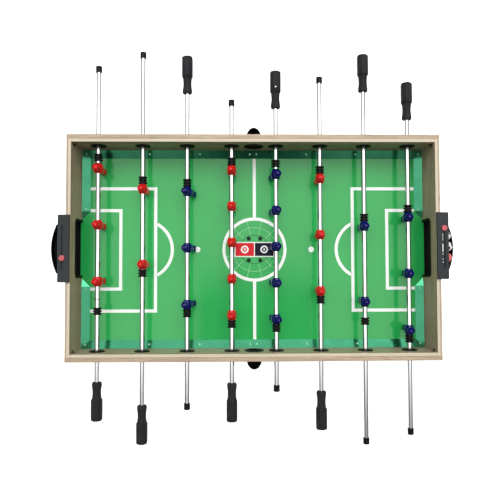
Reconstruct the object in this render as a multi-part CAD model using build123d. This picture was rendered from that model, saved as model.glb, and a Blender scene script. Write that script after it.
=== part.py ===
"""A 55 inch foosball table: cabinet, playfield, eight through rods with their men, and legs.

Frame: X along the table, Y across it (front is -Y), Z up from the floor. Millimetres.
The origin is on the floor, under the middle of the cabinet.
"""

import math
import os

from build123d import *

# ---- Cabinet
CABINET_LENGTH = 1230.0
CABINET_WIDTH = 745.0
RIM_HEIGHT = 880.0
CABINET_BOTTOM = 640.0
SIDE_THICKNESS = 26.0
SIDE_SKIN = 15.0  # what is left of a side panel outside the end panel's rabbet
END_THICKNESS = 16.0
EDGE_BREAK = 1.2

INNER_X = CABINET_LENGTH / 2 - END_THICKNESS
INNER_Y = CABINET_WIDTH / 2 - SIDE_THICKNESS
OUTER_X = CABINET_LENGTH / 2
OUTER_Y = CABINET_WIDTH / 2

# ---- Playfield
FIELD_DEPTH = 135.0  # rim to playing surface
FIELD_TOP = RIM_HEIGHT - FIELD_DEPTH
FIELD_THICKNESS = 10.0
GROOVE_DEPTH = 6.0
TONGUE = 5.5
FLOOR_PANEL = (645.0, 654.0)  # bottom and top of the panel that closes the cabinet

# ---- Edge ramps and their screws
RAMP_WIDTH = 28.0
RAMP_HEIGHT = 8.0
RAMP_LIP = 0.8
RAMP_GAP = 0.25  # half the gap between two ramps at the halfway line
RAMP_END_Y = 104.0  # the point of an end strip's toe, at the wall beside the goal
SCREW_INSET = 13.0  # screw axis from the wall
SCREW_XS = (11.5, 188.0, 364.0, INNER_X - SCREW_INSET)
SCREW_END_Y = 140.0
SCREW_HEAD_R = 3.5
SCREW_SHANK_R = 1.6
SCREW_SEAT = 2.4  # height of the screw's seat above the playfield

# ---- Goals, ball return cups and score plates
GOAL_HALF = 93.0
GOAL_HEIGHT = 77.0
GOAL_CORNER = 15.0
FRAME_BORDER = 8.0
FRAME_PROUD = 1.5
FRAME_WALL = 2.5
BOX_HALF = 98.0
BOX_WALL = 3.0
BOX_FRONT = 638.0  # outer face of the hood over the fall
CUP_FLOOR = FIELD_TOP - 4.0
CUP_BASE = CUP_FLOOR - 4.0
CUP_RIM = FIELD_TOP + 15.0
CUP_APEX = 703.0  # half of the overall length
CUP_CORNER = (685.0, 84.0)
CUP_SHOULDER = 650.0
SILL_THICKNESS = 3.0  # of the cup's tongue over the sill of the goal's opening
HOOD_LIP = FIELD_TOP + 42.0
PLATE_X = (600.0, 638.0)
PLATE_Y = 3.5  # the right plate's middle
PLATE_HALF = 110.0
PLATE_THICKNESS = 9.0
SLOT_X = 623.0
SLOT_HALF = 72.0
SLOT_WIDTH = 6.0
SLOT_DEPTH = 5.0
SLIDER_R = 9.5
SLIDER_STEM_R = 2.8
SLIDER_Y = (-35.0, 61.0)  # left and right markers at rest

# ---- Ball entries
ENTRY_HEIGHT = FIELD_TOP + 72.0
ENTRY_BORE_R = 22.0
ENTRY_TUBE_R = 25.0
ENTRY_RING_R = 32.0
ENTRY_RING_T = 3.0
ENTRY_CUP_HALF = 25.0
ENTRY_CUP_REACH = 34.0
ENTRY_CUP_RIM = FIELD_TOP + 88.0
ENTRY_CUP_BASE = ENTRY_HEIGHT - 27.0
ENTRY_WALL = 2.5

# ---- Balls
BALL_R = 18.0
BALL_YS = (-33.0, 5.0, 43.0)

# ---- Rods
ROD_PITCH = 150.0
ROD_COUNT = 8
ROD_HEIGHT = FIELD_TOP + 76.0
ROD_R = 7.95
ROD_BORE_R = 5.95
BEARING_BORE_R = 8.0
BEARING_BARREL_R = 14.9
BEARING_HOLE_R = 15.0
BEARING_FLANGE_R = 26.0
BEARING_FLANGE_T = 4.5
BEARING_NUT_R = 22.0
BEARING_NUT_T = 4.0
BEARING_END = OUTER_Y + BEARING_NUT_T + 0.5

BUMPER_LENGTH = 24.0
BUMPER_R = 14.5
BUMPER_GROOVE_R = 11.0
BUMPER_BORE_R = 8.0
WASHER_T = 1.2
WASHER_R = 13.0
STOP_GAP = 0.5  # left between a bumper and the bearing flange at a slide limit

HANDLE_LENGTH = 128.0
PALM_FLAT = 18.1  # half the width across the flats
PALM_START = 57.0
HANDLE_INNER = 415.0  # handle's inner end, from the middle, with its rod pushed in
HANDLE_SOCKET = 100.0
CAP_INNER = 409.0
CAP_LENGTH = 22.0
CAP_R = 11.0
CAP_SOCKET = 18.0

# Each rod: team, number of men, their spacing, side of the handle (-1 front, 1 back),
# how far the rod stands from its middle position, how far the front and the back bumper
# have slipped along the rod away from the men, how far the men sit behind the middle of
# their rod, and how many degrees their feet swing to the right of straight down.
RODS = (
    ("red", 3, 190.5, -1, 78.0, 69.0, 7.0, 0.0, 0.0),
    ("red", 2, 254.5, -1, 64.0, 0.0, 0.0, 7.8, 0.0),
    ("blue", 3, 190.5, 1, 0.0, 0.0, 0.0, 0.0, 13.0),
    ("red", 5, 122.3, -1, 18.0, 0.0, 0.0, 0.0, 2.0),
    ("blue", 5, 122.3, 1, 4.0, 0.0, 7.0, 0.0, -8.0),
    ("red", 3, 190.5, -1, 44.0, 0.0, 0.0, 0.0, 0.0),
    ("blue", 2, 254.5, 1, -55.0, 36.0, 0.0, 0.0, 3.5),
    ("blue", 3, 190.5, 1, -88.0, 0.0, 0.0, 0.0, 7.0),
)

# ---- Men, measured from the rod's axis
MAN_HALF_WIDTH = 16.5
MAN_HALF_DEPTH = 15.5
MAN_HEAD_Z = 25.5
MAN_HEAD_R = 13.0
MAN_BARREL_R = 16.0
MAN_LEG_HALF_WIDTH = 10.5
MAN_FOOT_Z = -69.0
MAN_PIN_R = 1.5
MAN_PIN_HALF = 15.4

# ---- Legs
LEG_SIZE = 88.0
LEG_FOOT_SIZE = 62.0
LEG_TOP = 725.0
LEG_BOTTOM = 20.3
LEG_HOLE_R = 5.1
LEG_HOLE_DEPTH = 60.0
LEVELER_PAD_R = 25.0
LEVELER_PAD_T = 10.0
LEVELER_HUB_R = 11.0
LEVELER_HUB_TOP = 20.0
LEVELER_STUD_R = 5.0
LEVELER_STUD_TOP = 62.0
BOLT_R = 4.0
BOLT_HEAD_R = 9.0
BOLT_HEAD_T = 5.0
BOLT_DEPTH = 30.0
SIDE_BOLT_ZS = (668.0, 703.0)
END_BOLT_ZS = (681.0, 716.0)
CORNERS = {
    "front_left": (-1, -1),
    "front_right": (1, -1),
    "back_left": (-1, 1),
    "back_right": (1, 1),
}


# ---- Basic shapes
def block(x0, x1, y0, y1, z0, z1):
    """A box between two corners, given in any order."""
    middle = Pos((x0 + x1) / 2, (y0 + y1) / 2, (z0 + z1) / 2)
    return middle * Box(abs(x1 - x0), abs(y1 - y0), abs(z1 - z0))


def rod_along_x(radius, x0, x1, y, z):
    return Pos((x0 + x1) / 2, y, z) * Rot(0, 90, 0) * Cylinder(radius, abs(x1 - x0))


def rod_along_y(radius, y0, y1, x, z):
    return Pos(x, (y0 + y1) / 2, z) * Rot(90, 0, 0) * Cylinder(radius, abs(y1 - y0))


def rod_along_z(radius, z0, z1, x, y):
    return Pos(x, y, (z0 + z1) / 2) * Cylinder(radius, abs(z1 - z0))


def turned_along_y(points, x, z, direction=1):
    """Turns a profile of (distance along the axis, radius) points about an axis along Y."""
    profile = make_face(Polyline([(r, d) for d, r in points], close=True))
    solid = revolve(profile, Axis.Y)
    if direction < 0:
        solid = Rot(0, 0, 180) * solid
    return Pos(x, 0, z) * solid


def wedge_strip(points, plane, length):
    return extrude(plane * make_face(Polyline(points, close=True)), length)


# ---- Where things are
def rod_x(index):
    return (index - (ROD_COUNT - 1) / 2) * ROD_PITCH


def men_offsets(rod):
    """The men's distances from the rod's middle, from front to back."""
    count, spacing, shift = rod[1], rod[2], rod[7]
    return [(i - (count - 1) / 2) * spacing + shift for i in range(count)]


def outer_man(rod, side):
    """Distance from the rod's middle to the last man on one side."""
    return max(side * y for y in men_offsets(rod))


def bumper_reach(rod, side):
    """Distance from the rod's middle to the far end of the bumper on one side."""
    slip = rod[6] if side > 0 else rod[5]
    gap = MAN_HALF_WIDTH + WASHER_T + 0.3
    return outer_man(rod, side) + gap + slip + BUMPER_LENGTH


def half_travel(rod):
    """Half of the rod's travel when both bumpers sit against the men."""
    gap = MAN_HALF_WIDTH + WASHER_T + 0.3
    reach = (outer_man(rod, 1) + outer_man(rod, -1)) / 2 + gap + BUMPER_LENGTH
    return INNER_Y - BEARING_FLANGE_T - reach


def man_place(index, y):
    """Where one man of a rod stands, turned about the rod by its lean."""
    rod = RODS[index]
    return Pos(rod_x(index), y + rod[4], ROD_HEIGHT) * Rot(0, -rod[8], 0)


def slide_range(rod):
    """How far the rod can slide towards the front and the back from where it stands."""
    stop = INNER_Y - BEARING_FLANGE_T - STOP_GAP
    offset = rod[4]
    return (
        -(stop - bumper_reach(rod, -1)) - offset,
        (stop - bumper_reach(rod, 1)) - offset,
    )


# ---- Cabinet
def side_panel(side):
    """A long side: rabbeted at both ends for the end panels, bored for the rods."""
    outer, inner = side * OUTER_Y, side * INNER_Y
    panel = block(-OUTER_X, OUTER_X, inner, outer, CABINET_BOTTOM, RIM_HEIGHT)
    top_edges = panel.edges().filter_by(Axis.X).sort_by(Axis.Z)[-2:]
    panel = chamfer(top_edges, EDGE_BREAK)
    skin = side * (OUTER_Y - SIDE_SKIN)
    low, high = CABINET_BOTTOM - 1, RIM_HEIGHT + 1
    for end in (-1, 1):
        beyond = end * (OUTER_X + 1)
        panel -= block(end * INNER_X, beyond, inner - side, skin, low, high)
    panel -= field_board(GROOVE_DEPTH)
    through = (side * (INNER_Y - 1), side * (OUTER_Y + 1))
    for index in range(ROD_COUNT):
        panel -= rod_along_y(BEARING_HOLE_R, *through, rod_x(index), ROD_HEIGHT)
    panel -= rod_along_y(ENTRY_TUBE_R + 0.1, *through, 0, ENTRY_HEIGHT)
    for end in (-1, 1):
        for z in SIDE_BOLT_ZS:
            panel -= rod_along_y(BOLT_R + 0.1, *through, end * leg_middle_x(), z)
    return panel


def goal_outline(half, height, corner, base):
    """An upright opening with round upper corners, standing on base, as a face in Y and Z."""
    top = base + height
    lines = [
        Line((-half, base), (-half, top - corner)),
        RadiusArc((-half, top - corner), (-half + corner, top), corner),
        Line((-half + corner, top), (half - corner, top)),
        RadiusArc((half - corner, top), (half, top - corner), corner),
        Line((half, top - corner), (half, base)),
        Line((half, base), (-half, base)),
    ]
    return Plane.YZ * make_face(lines)


def goal_prism(half, height, corner, base, x0, x1):
    face = Pos(x0, 0, 0) * goal_outline(half, height, corner, base)
    return extrude(face, abs(x1 - x0), dir=(math.copysign(1, x1 - x0), 0, 0))


def end_panel(end):
    """A short end, with the goal's opening and the bolt holes for the legs."""
    half = OUTER_Y - SIDE_SKIN
    panel = block(end * INNER_X, end * OUTER_X, -half, half, CABINET_BOTTOM, RIM_HEIGHT)
    top_edges = panel.edges().filter_by(Axis.Y).sort_by(Axis.Z)[-2:]
    panel = chamfer(top_edges, EDGE_BREAK)
    panel -= field_board(GROOVE_DEPTH)
    base = CUP_FLOOR - SILL_THICKNESS
    opening = FIELD_TOP + GOAL_HEIGHT + FRAME_WALL - base
    corner = GOAL_CORNER + FRAME_WALL
    x0, x1 = end * (INNER_X - 1), end * (OUTER_X + 1)
    panel -= goal_prism(GOAL_HALF + FRAME_WALL, opening, corner, base, x0, x1)
    for side in (-1, 1):
        for z in END_BOLT_ZS:
            panel -= rod_along_x(BOLT_R + 0.1, x0, x1, side * leg_middle_y(), z)
    return panel


def field_board(margin):
    """The playfield board, reaching margin beyond the cabinet's inner faces."""
    x, y = INNER_X + margin, INNER_Y + margin
    return block(-x, x, -y, y, FIELD_TOP - FIELD_THICKNESS, FIELD_TOP)


def playfield():
    board = field_board(TONGUE)
    for x, y in screw_places():
        board -= rod_along_z(SCREW_SHANK_R + 0.1, FIELD_TOP - 9, FIELD_TOP + 1, x, y)
    return board


def bottom_panel():
    panel = block(-INNER_X, INNER_X, -INNER_Y, INNER_Y, *FLOOR_PANEL)
    for end, side in CORNERS.values():
        notch_x, notch_y = INNER_X - LEG_SIZE - 0.5, INNER_Y - LEG_SIZE - 0.5
        panel -= block(
            end * notch_x,
            end * (INNER_X + 1),
            side * notch_y,
            side * (INNER_Y + 1),
            FLOOR_PANEL[0] - 1,
            FLOOR_PANEL[1] + 1,
        )
    return panel


# ---- Ramps and screws
def quarter_screws():
    """The screws of the back right ramp."""
    places = [(x, INNER_Y - SCREW_INSET) for x in SCREW_XS]
    return places + [(INNER_X - SCREW_INSET, SCREW_END_Y)]


def screw_places():
    return [(end * x, side * y) for end, side in CORNERS.values() for x, y in quarter_screws()]


def ramp_profile():
    """Across a ramp: distance from the wall, and height above the playfield."""
    return [(0, 0), (0, RAMP_HEIGHT), (RAMP_WIDTH, RAMP_LIP), (RAMP_WIDTH, 0)]


def ramp_toe():
    """The three-cornered end of an end strip, sloping down towards the goal."""
    start = RAMP_END_Y + RAMP_WIDTH
    corners = [(INNER_X, start), (INNER_X - RAMP_WIDTH, start), (INNER_X, RAMP_END_Y)]
    plan = Pos(0, 0, FIELD_TOP) * make_face(Polyline(corners, close=True))
    toe = extrude(plan, RAMP_HEIGHT, dir=(0, 0, 1))
    drop = RAMP_HEIGHT - RAMP_LIP
    slope = Plane(origin=(INNER_X, start, FIELD_TOP + RAMP_HEIGHT), z_dir=(-drop, -drop, RAMP_WIDTH))
    return toe - slope * Pos(0, 0, 20) * Box(200, 200, 40)


def edge_ramp():
    """The ramp of the back right quarter: a side strip and an end strip, mitred together."""
    along_x = Plane(origin=(INNER_X, INNER_Y, FIELD_TOP), x_dir=(0, -1, 0), z_dir=(-1, 0, 0))
    side_strip = wedge_strip(ramp_profile(), along_x, INNER_X - RAMP_GAP)
    start = RAMP_END_Y + RAMP_WIDTH
    along_y = Plane(origin=(INNER_X, start, FIELD_TOP), x_dir=(-1, 0, 0), z_dir=(0, 1, 0))
    end_strip = wedge_strip(ramp_profile(), along_y, INNER_Y - start)
    ramp = side_strip + end_strip + ramp_toe()
    for x, y in quarter_screws():
        ramp -= rod_along_z(SCREW_SHANK_R + 0.1, FIELD_TOP - 1, FIELD_TOP + 9, x, y)
        ramp -= rod_along_z(SCREW_HEAD_R + 0.3, FIELD_TOP + SCREW_SEAT, FIELD_TOP + 9, x, y)
    return ramp


def edge_ramps():
    quarter = edge_ramp()
    ramps = []
    for end, side in CORNERS.values():
        ramp = quarter
        if end < 0:
            ramp = mirror(ramp, Plane.YZ)
        if side < 0:
            ramp = mirror(ramp, Plane.XZ)
        ramps.append(ramp)
    return ramps


def ramp_screw(x, y):
    seat = FIELD_TOP + SCREW_SEAT
    head = rod_along_z(SCREW_HEAD_R, seat, seat + 1.6, x, y)
    shank = rod_along_z(SCREW_SHANK_R, FIELD_TOP - 8, seat + 0.5, x, y)
    recess = block(x - 2, x + 2, y - 0.4, y + 0.4, seat + 1.0, seat + 2)
    recess += block(x - 0.4, x + 0.4, y - 2, y + 2, seat + 1.0, seat + 2)
    return head + shank - recess


# ---- Ends of the table
def goal_frame(end):
    """The black bezel that lines a goal: a flange on the wall and a collar through it."""
    wall_x = end * INNER_X
    outside = goal_prism(
        GOAL_HALF + FRAME_BORDER,
        GOAL_HEIGHT + FRAME_BORDER,
        GOAL_CORNER + 4,
        FIELD_TOP,
        wall_x - end * FRAME_PROUD,
        wall_x,
    )
    collar = goal_prism(
        GOAL_HALF + FRAME_WALL - 0.1,
        GOAL_HEIGHT + FRAME_WALL - 0.1,
        GOAL_CORNER + FRAME_WALL,
        FIELD_TOP,
        wall_x - end * FRAME_PROUD,
        end * (OUTER_X - 0.5),
    )
    mouth = goal_prism(
        GOAL_HALF,
        GOAL_HEIGHT,
        GOAL_CORNER,
        FIELD_TOP,
        wall_x - end * (FRAME_PROUD + 1),
        end * (OUTER_X + 1),
    )
    below = block(
        wall_x - end * 10,
        end * (OUTER_X + 1),
        -GOAL_HALF,
        GOAL_HALF,
        FIELD_TOP - 1,
        FIELD_TOP + GOAL_HEIGHT / 2,
    )
    return outside + collar - mouth - below


def cup_face(inset):
    """The plan of a ball return cup at the right end, drawn in by inset."""
    corner_x, corner_y = CUP_CORNER
    half = BOX_HALF - inset
    lines = [
        Line((OUTER_X, -half), (CUP_SHOULDER, -half)),
        Line((CUP_SHOULDER, -half), (corner_x - inset, -corner_y + inset)),
        ThreePointArc(
            (corner_x - inset, -corner_y + inset),
            (CUP_APEX - inset, 0),
            (corner_x - inset, corner_y - inset),
        ),
        Line((corner_x - inset, corner_y - inset), (CUP_SHOULDER, half)),
        Line((CUP_SHOULDER, half), (OUTER_X, half)),
        Line((OUTER_X, half), (OUTER_X, -half)),
    ]
    return make_face(lines)


def ball_return_cup(end):
    """The box behind a goal: a hood that stops the ball, and an open cup that holds it."""
    cup = Pos(0, 0, CUP_BASE) * extrude(cup_face(0), CUP_RIM - CUP_BASE)
    cup -= Pos(0, 0, CUP_FLOOR) * extrude(cup_face(BOX_WALL), CUP_RIM)
    hood = block(OUTER_X, BOX_FRONT, -BOX_HALF, BOX_HALF, CUP_RIM, RIM_HEIGHT)
    inner = BOX_HALF - BOX_WALL
    hood -= block(
        OUTER_X - 1,
        BOX_FRONT - BOX_WALL,
        -inner,
        inner,
        CUP_RIM - 1,
        RIM_HEIGHT - BOX_WALL,
    )
    hood -= block(BOX_FRONT - BOX_WALL - 1, BOX_FRONT + 1, -inner, inner, CUP_RIM - 1, HOOD_LIP)
    sill_half = GOAL_HALF + FRAME_WALL - 0.1
    sill_start = INNER_X + TONGUE + 0.3
    sill = block(sill_start, OUTER_X + 1, -sill_half, sill_half, CUP_FLOOR - SILL_THICKNESS, CUP_FLOOR)
    box = cup + hood + sill
    return box if end > 0 else Rot(0, 0, 180) * box


def score_plate(end):
    """The plate over the rim at one end, with the groove of the score marker."""
    low, high = PLATE_Y - PLATE_HALF, PLATE_Y + PLATE_HALF
    plate = block(*PLATE_X, low, high, RIM_HEIGHT, RIM_HEIGHT + PLATE_THICKNESS)
    upright = plate.edges().filter_by(Axis.Z).sort_by(Axis.X)[-2:]
    plate = fillet(upright, 4)
    plate = chamfer(plate.faces().sort_by(Axis.Z)[-1].edges(), 1)
    top = RIM_HEIGHT + PLATE_THICKNESS
    slot = SlotOverall(2 * SLOT_HALF, SLOT_WIDTH, rotation=90)
    plate -= Pos(SLOT_X, 0, top - SLOT_DEPTH) * extrude(slot, SLOT_DEPTH + 1)
    return plate if end > 0 else Rot(0, 0, 180) * plate


def score_slider(end):
    y = SLIDER_Y[0 if end < 0 else 1]
    top = RIM_HEIGHT + PLATE_THICKNESS
    knob = rod_along_z(SLIDER_R, top + 0.3, top + 4.3, end * SLOT_X, y)
    knob = fillet(knob.edges().sort_by(Axis.Z)[-1:], 1.2)
    stem = rod_along_z(SLIDER_STEM_R, top - SLOT_DEPTH + 0.3, top + 1, end * SLOT_X, y)
    return knob + stem


# ---- Ball entries
def entry_ring(side):
    """The ring round a ball hole inside the cabinet, with its tube through the wall."""
    wall = side * INNER_Y
    ring = rod_along_y(ENTRY_RING_R, wall - side * ENTRY_RING_T, wall, 0, ENTRY_HEIGHT)
    tube = rod_along_y(ENTRY_TUBE_R, wall - side * ENTRY_RING_T, side * OUTER_Y, 0, ENTRY_HEIGHT)
    bore = rod_along_y(ENTRY_BORE_R, wall - side * 10, side * (OUTER_Y + 1), 0, ENTRY_HEIGHT)
    return ring + tube - bore


def entry_scoop_face(inset):
    """The plan of the scoop outside the back wall: a half ellipse standing on the wall."""
    rx, ry = ENTRY_CUP_HALF - inset, ENTRY_CUP_REACH - inset
    oval = Pos(0, OUTER_Y) * Ellipse(rx, ry)
    return oval & Pos(0, OUTER_Y + ry) * Rectangle(4 * rx, 2 * ry)


def entry_scoop(side):
    """The scoop outside a ball hole, open at its top."""
    body = Pos(0, 0, ENTRY_CUP_BASE) * extrude(entry_scoop_face(0), ENTRY_CUP_RIM - ENTRY_CUP_BASE)
    hollow_floor = ENTRY_HEIGHT - ENTRY_BORE_R
    body -= Pos(0, 0, hollow_floor) * extrude(entry_scoop_face(ENTRY_WALL), 100)
    return body if side > 0 else Rot(0, 0, 180) * body


def ball(y):
    """A ball resting on the right cup's floor against its bowed front."""
    half, rise = CUP_CORNER[1], CUP_APEX - CUP_CORNER[0]
    radius = (half**2 + rise**2) / (2 * rise) - BOX_WALL
    centre_x = CUP_APEX - BOX_WALL - radius
    x = centre_x + math.sqrt((radius - BALL_R - 0.5) ** 2 - y**2)
    return Pos(x, y, CUP_FLOOR + BALL_R + 0.2) * Sphere(BALL_R)


# ---- Bearings
def rod_bearing(index, side):
    """A flanged bush through a side panel, with its flange inside."""
    x, wall = rod_x(index), side * INNER_Y
    flange_face = wall - side * BEARING_FLANGE_T
    flange = rod_along_y(BEARING_FLANGE_R, flange_face, wall, x, ROD_HEIGHT)
    flange = fillet(flange.edges().sort_by(Axis.Y)[0 if side > 0 else -1], 2.5)
    barrel = rod_along_y(BEARING_BARREL_R, flange_face, side * BEARING_END, x, ROD_HEIGHT)
    bore = rod_along_y(BEARING_BORE_R, wall - side * 20, side * (BEARING_END + 1), x, ROD_HEIGHT)
    return flange + barrel - bore


def bearing_nut(index, side):
    """The ring nut that clamps a bearing from outside, with eight finger flats."""
    face = Plane.XZ * RegularPolygon(BEARING_NUT_R, 8)
    nut = extrude(face, BEARING_NUT_T, dir=(0, 1, 0))
    bore = rod_along_y(BEARING_HOLE_R, -1, BEARING_NUT_T + 1, 0, 0)
    start = OUTER_Y if side > 0 else -OUTER_Y - BEARING_NUT_T
    return Pos(rod_x(index), start, ROD_HEIGHT) * (nut - bore)


# ---- Rods
def bar_ends(rod):
    """The Y of the bar's ends: the one in the handle, and the one in the end cap."""
    side, offset = rod[3], rod[4]
    reach = half_travel(rod)
    in_handle = side * (HANDLE_INNER + reach + HANDLE_SOCKET - 1) + offset
    in_cap = -side * (CAP_INNER + reach + CAP_SOCKET - 1) + offset
    return in_handle, in_cap


def rod_bar(index):
    rod = RODS[index]
    x, ends = rod_x(index), bar_ends(rod)
    low, high = min(ends), max(ends)
    bar = rod_along_y(ROD_R, low, high, x, ROD_HEIGHT)
    bar -= rod_along_y(ROD_BORE_R, low - 1, high + 1, x, ROD_HEIGHT)
    for y in men_offsets(rod):
        bar -= man_place(index, y) * rod_along_x(MAN_PIN_R + 0.1, -20, 20, 0, 0)
    return bar


def mirrored_outline(right):
    """An outline that is the same on both sides, from the points of its right half."""
    return right + [(-across, height) for across, height in reversed(right)]


def man(facing):
    """One man about the rod's axis at the origin; facing is the X direction he looks."""
    head = Pos(0, 0, MAN_HEAD_Z) * Sphere(MAN_HEAD_R)
    neck = rod_along_z(7, 8, MAN_HEAD_Z - 5, 0, 0)
    half = MAN_HALF_WIDTH
    torso_outline = mirrored_outline([(11, 16), (half, 9), (14.5, -16), (11, -36)])
    torso_face = Plane.YZ * make_face(Polyline(torso_outline, close=True))
    torso = extrude(torso_face, MAN_HALF_DEPTH, both=True)
    torso = chamfer(torso.edges().filter_by(Axis.Y).sort_by(Axis.Z)[-2:], 5)
    barrel = rod_along_y(MAN_BARREL_R, -half, half, 0, 0)
    leg_outline = mirrored_outline([(10.5, -34), (6.5, -52), (10, -60), (10, MAN_FOOT_Z)])
    leg_face = Plane.XZ * make_face(Polyline(leg_outline, close=True))
    legs = extrude(leg_face, MAN_LEG_HALF_WIDTH, both=True)
    body = head + neck + torso + barrel + legs
    body -= rod_along_y(ROD_R + 0.05, -20, 20, 0, 0)
    body -= rod_along_x(MAN_PIN_R + 0.1, -20, 20, 0, 0)
    return body if facing > 0 else Rot(0, 0, 180) * body


def rod_men(index):
    """A rod's men, and the pin that holds each of them to the bar."""
    rod = RODS[index]
    facing = 1 if rod[0] == "red" else -1
    solids = []
    for y in men_offsets(rod):
        place = man_place(index, y)
        solids.append(place * man(facing))
        solids.append(place * rod_along_x(MAN_PIN_R, -MAN_PIN_HALF, MAN_PIN_HALF, 0, 0))
    return solids


def bumper_profile():
    """Three ribs and two grooves, as (distance, radius) from the end next to the man."""
    rib, groove = 5.6, 3.6
    points = [(0, BUMPER_BORE_R)]
    start = 0.0
    for count in range(3):
        points += [(start, BUMPER_R - 1), (start + 1, BUMPER_R)]
        points += [(start + rib - 1, BUMPER_R), (start + rib, BUMPER_R - 1)]
        if count < 2:
            points += [(start + rib, BUMPER_GROOVE_R), (start + rib + groove, BUMPER_GROOVE_R)]
        start += rib + groove
    return points + [(BUMPER_LENGTH, BUMPER_BORE_R)]


def rod_bumpers(index):
    """The two rubber bumpers of a rod and the thin washers beside its outer men."""
    rod = RODS[index]
    solids = []
    for side in (-1, 1):
        near = bumper_reach(rod, side) - BUMPER_LENGTH
        bumper = turned_along_y([(near + d, r) for d, r in bumper_profile()], 0, 0, side)
        solids.append(Pos(rod_x(index), rod[4], ROD_HEIGHT) * bumper)
        slip = rod[6] if side > 0 else rod[5]
        inner = outer_man(rod, side) + MAN_HALF_WIDTH + 0.2
        washer_y = side * (inner + WASHER_T / 2 + (0.6 * slip if slip > 50 else 0))
        low, high = washer_y - WASHER_T / 2, washer_y + WASHER_T / 2
        washer = rod_along_y(WASHER_R, low, high, 0, 0)
        washer -= rod_along_y(BUMPER_BORE_R, low - 1, high + 1, 0, 0)
        solids.append(Pos(rod_x(index), rod[4], ROD_HEIGHT) * washer)
    return solids


def rod_handle(index):
    """A rubber grip: a waisted front half, and a thicker eight-sided palm end."""
    rod = RODS[index]
    start = HANDLE_INNER + half_travel(rod)
    waist = [(0, 0), (0, 14), (2, 16), (9, 16.3), (20, 14.8), (34, 14), (48, 14.7), (60, 16), (60, 0)]
    grip = turned_along_y([(start + d, r) for d, r in waist], 0, 0)
    palm_face = Plane.XZ * Rot(0, 0, 22.5) * RegularPolygon(PALM_FLAT, 8, major_radius=False)
    palm_length = HANDLE_LENGTH - PALM_START
    palm = Pos(0, start + PALM_START, 0) * extrude(palm_face, palm_length, dir=(0, 1, 0))
    widest, end = PALM_FLAT + 0.9, start + HANDLE_LENGTH
    envelope = [(start + PALM_START - 1, 0), (start + PALM_START - 1, 16.5), (start + 59, widest)]
    envelope += [(end - 4, widest), (end - 1.2, widest - 2.2), (end, widest - 5), (end, 0)]
    handle = grip + (palm & turned_along_y(envelope, 0, 0))
    handle -= rod_along_y(ROD_R + 0.05, start - 1, start + HANDLE_SOCKET, 0, 0)
    if rod[3] < 0:
        handle = Rot(0, 0, 180) * handle
    return Pos(rod_x(index), rod[4], ROD_HEIGHT) * handle


def rod_end_cap(index):
    rod = RODS[index]
    start = CAP_INNER + half_travel(rod)
    profile = [(0, 0), (0, CAP_R - 0.6), (0.6, CAP_R), (CAP_LENGTH - 4, CAP_R)]
    profile += [(CAP_LENGTH - 1, CAP_R - 1.5), (CAP_LENGTH, CAP_R - 4), (CAP_LENGTH, 0)]
    cap = turned_along_y([(start + d, r) for d, r in profile], 0, 0)
    cap -= rod_along_y(ROD_R + 0.05, start - 1, start + CAP_SOCKET, 0, 0)
    if rod[3] > 0:
        cap = Rot(0, 0, 180) * cap
    return Pos(rod_x(index), rod[4], ROD_HEIGHT) * cap


# ---- Legs
def leg_middle_x():
    return INNER_X - LEG_SIZE / 2


def leg_middle_y():
    return INNER_Y - LEG_SIZE / 2


def leg(end, side):
    """A square leg: straight inside the cabinet, tapering on its two inner faces below."""
    x, y = end * INNER_X, side * INNER_Y
    top = block(x, x - end * LEG_SIZE, y, y - side * LEG_SIZE, CABINET_BOTTOM, LEG_TOP)
    inset = LEG_FOOT_SIZE / 2
    foot = Pos(x - end * inset, y - side * inset, LEG_BOTTOM) * Rectangle(LEG_FOOT_SIZE, LEG_FOOT_SIZE)
    inset = LEG_SIZE / 2
    head = Pos(x - end * inset, y - side * inset, CABINET_BOTTOM) * Rectangle(LEG_SIZE, LEG_SIZE)
    post = top + loft([foot.face(), head.face()])
    foot_x, foot_y = leveler_place(end, side)
    post -= rod_along_z(LEG_HOLE_R, LEG_BOTTOM - 1, LEG_BOTTOM + LEG_HOLE_DEPTH, foot_x, foot_y)
    for z in SIDE_BOLT_ZS:
        inner = y - side * (BOLT_DEPTH + 1)
        post -= rod_along_y(BOLT_R + 0.1, inner, y + side, end * leg_middle_x(), z)
    for z in END_BOLT_ZS:
        inner = x - end * (BOLT_DEPTH + 1)
        post -= rod_along_x(BOLT_R + 0.1, inner, x + end, side * leg_middle_y(), z)
    return post


def leg_bolts(end, side):
    """The four bolts of one leg: two through the side panel, two through the end panel."""
    bolts = []
    x, y = end * leg_middle_x(), side * leg_middle_y()
    for z in SIDE_BOLT_ZS:
        wall = side * OUTER_Y
        shank = rod_along_y(BOLT_R, side * (INNER_Y - BOLT_DEPTH), wall + side, x, z)
        head = rod_along_y(BOLT_HEAD_R, wall, wall + side * BOLT_HEAD_T, x, z)
        head = chamfer(head.edges().sort_by(Axis.Y)[-1 if side > 0 else 0], 2)
        bolts.append(head + shank)
    for z in END_BOLT_ZS:
        wall = end * OUTER_X
        shank = rod_along_x(BOLT_R, end * (INNER_X - BOLT_DEPTH), wall + end, y, z)
        head = rod_along_x(BOLT_HEAD_R, wall, wall + end * BOLT_HEAD_T, y, z)
        head = chamfer(head.edges().sort_by(Axis.X)[-1 if end > 0 else 0], 2)
        bolts.append(head + shank)
    return bolts


def leveler_place(end, side):
    inset = LEG_FOOT_SIZE / 2
    return end * (INNER_X - inset), side * (INNER_Y - inset)


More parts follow.
